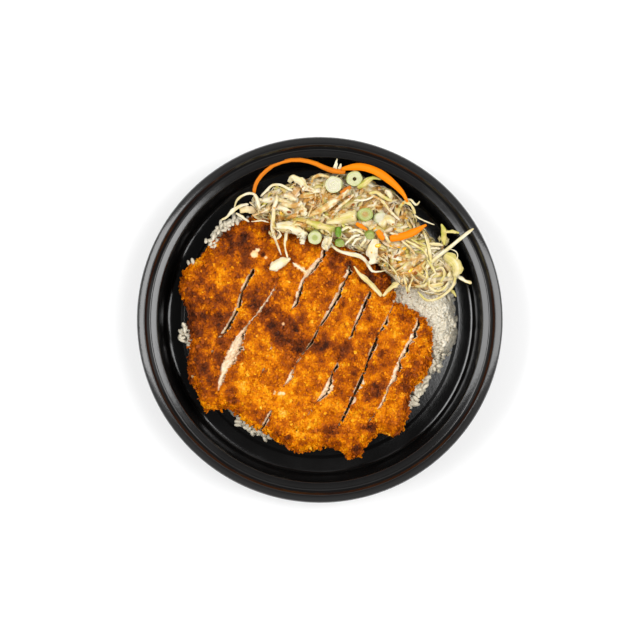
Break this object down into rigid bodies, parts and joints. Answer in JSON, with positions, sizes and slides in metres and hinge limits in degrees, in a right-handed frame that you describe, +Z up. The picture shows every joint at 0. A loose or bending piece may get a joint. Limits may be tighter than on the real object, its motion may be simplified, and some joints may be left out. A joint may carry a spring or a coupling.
{
  "type": "chicken katsu plate",
  "caption": "Breaded chicken cutlet cut into strips on white rice, with cabbage slaw, carrot and spring onion, in a round black takeaway bowl.",
  "frame": {"origin": "middle of the bowl's foot, on the table", "axes": "+Z up, +X to the diner's right, +Y away from the diner, towards the slaw"},
  "size_m": [0.229, 0.229, 0.0464],
  "materials": {
    "black_plastic": "satin moulded",
    "cooked_rice": "moist, slightly glossy",
    "fried_crumb": "rough fried breadcrumb",
    "cabbage": "moist, dressed",
    "carrot": "moist",
    "spring_onion": "moist"
  },
  "bodies": {
    "root": {"bowl": "black_plastic", "rice": "cooked_rice", "katsu_strip_1": "fried_crumb", "katsu_strip_2": "fried_crumb", "katsu_strip_3": "fried_crumb", "katsu_strip_4": "fried_crumb", "katsu_strip_5": "fried_crumb", "katsu_strip_6": "fried_crumb", "katsu_strip_7": "fried_crumb", "katsu_strip_8": "fried_crumb", "slaw": "cabbage", "carrot_1": "carrot", "carrot_2": "carrot", "carrot_3": "carrot", "carrot_4": "carrot", "carrot_5": "carrot", "carrot_6": "carrot", "onion_1": "spring_onion", "onion_2": "spring_onion", "onion_3": "spring_onion", "onion_4": "spring_onion", "onion_5": "spring_onion", "onion_6": "spring_onion", "onion_7": "spring_onion", "onion_8": "spring_onion"}
  },
  "joints": []
}
